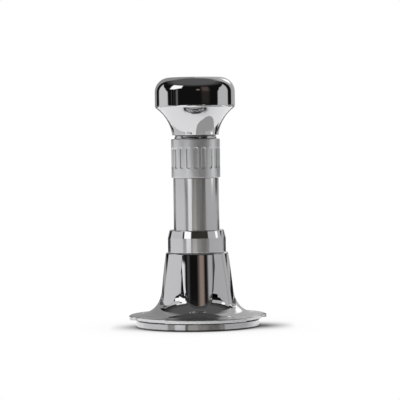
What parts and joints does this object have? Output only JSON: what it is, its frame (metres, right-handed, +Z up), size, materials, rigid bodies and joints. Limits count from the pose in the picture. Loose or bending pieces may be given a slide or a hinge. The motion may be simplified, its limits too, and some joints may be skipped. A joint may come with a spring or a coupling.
{
  "type": "espresso tamper",
  "caption": "Spring-loaded espresso tamper: a fluted bell with a levelling flange, a sliding piston and disc, a handle tube with a load-setting collar, and a round knob.",
  "frame": {"origin": "centre of the tamping face, on the axis", "axes": "+Z up along the axis of the tool, from the tamping face to the knob; the front flute faces -Y"},
  "size_m": [0.0648, 0.0635, 0.1175],
  "materials": {
    "polished_steel": "mirror polished",
    "ring_steel": "satin side with a polished bevel",
    "satin_steel": "turned satin",
    "tube_steel": "centreless ground",
    "ground_steel": "ground",
    "spring_steel": "drawn wire",
    "black_steel": "black oxide",
    "bronze": "oiled bearing bronze",
    "rubber": "moulded",
    "blasted_aluminium": "bead blasted and clear anodised"
  },
  "bodies": {
    "base": {"levelling_bell": "polished_steel", "rod_bush": "bronze", "spring_base_washer": "ground_steel", "stop_bumper": "rubber", "retaining_screws": "black_steel", "guide_ring": "ring_steel", "guide_bush": "bronze", "wiper_seal": "rubber", "piston_spring": "spring_steel", "return_spring": "spring_steel"},
    "piston": {"tamping_disc": "satin_steel", "piston_rod": "ground_steel", "anvil_cap": "black_steel", "rod_clip": "black_steel"},
    "handle": {"shaft_tube": "tube_steel", "spring_top_washer": "ground_steel", "friction_ring": "rubber", "lock_ring": "black_steel", "knob": "polished_steel", "main_spring": "spring_steel"},
    "striker": {"hammer": "black_steel"},
    "sear": {"sear_block": "ground_steel"},
    "spring_seat": {"seat_cup": "ground_steel", "cam_pins": "black_steel"},
    "adjuster": {"cam_sleeve": "bronze", "thrust_washer": "bronze", "adjuster_collar": "blasted_aluminium"}
  },
  "joints": [
    {"name": "handle_press", "type": "slide", "parent": "base", "child": "handle", "axis": [0, 0, -1], "range_m": [0, 0.014], "stiffness_N_per_m": 7100, "springref_m": -0.0049, "deforming": ["return_spring"]},
    {"name": "piston_slide", "type": "slide", "parent": "base", "child": "piston", "axis": [0, 0, -1], "range_m": [0, 0.008], "stiffness_N_per_m": 400, "springref_m": -0.006, "deforming": ["piston_spring"]},
    {"name": "hammer_lift", "type": "slide", "parent": "handle", "child": "striker", "axis": [0, 0, 1], "range_m": [0, 0.014], "deforming": ["main_spring"]},
    {"name": "sear_slide", "type": "slide", "parent": "striker", "child": "sear", "axis": [1, 0, 0], "range_m": [0, 0.001], "stiffness_N_per_m": 200, "springref_m": -0.002},
    {"name": "collar_turn", "type": "hinge", "parent": "handle", "child": "adjuster", "pos_m": [0, 0, 0.0795], "axis": [0, 0, 1], "range_deg": [0, 150]},
    {"name": "seat_shift", "type": "slide", "parent": "handle", "child": "spring_seat", "axis": [0, 0, -1], "range_m": [0, 0.004]}
  ],
  "couplings": [
    {"joint": "hammer_lift", "follows": "handle_press", "ratio": 1},
    {"joint": "seat_shift", "follows": "collar_turn", "m_per_rad": 0.0015278}
  ]
}
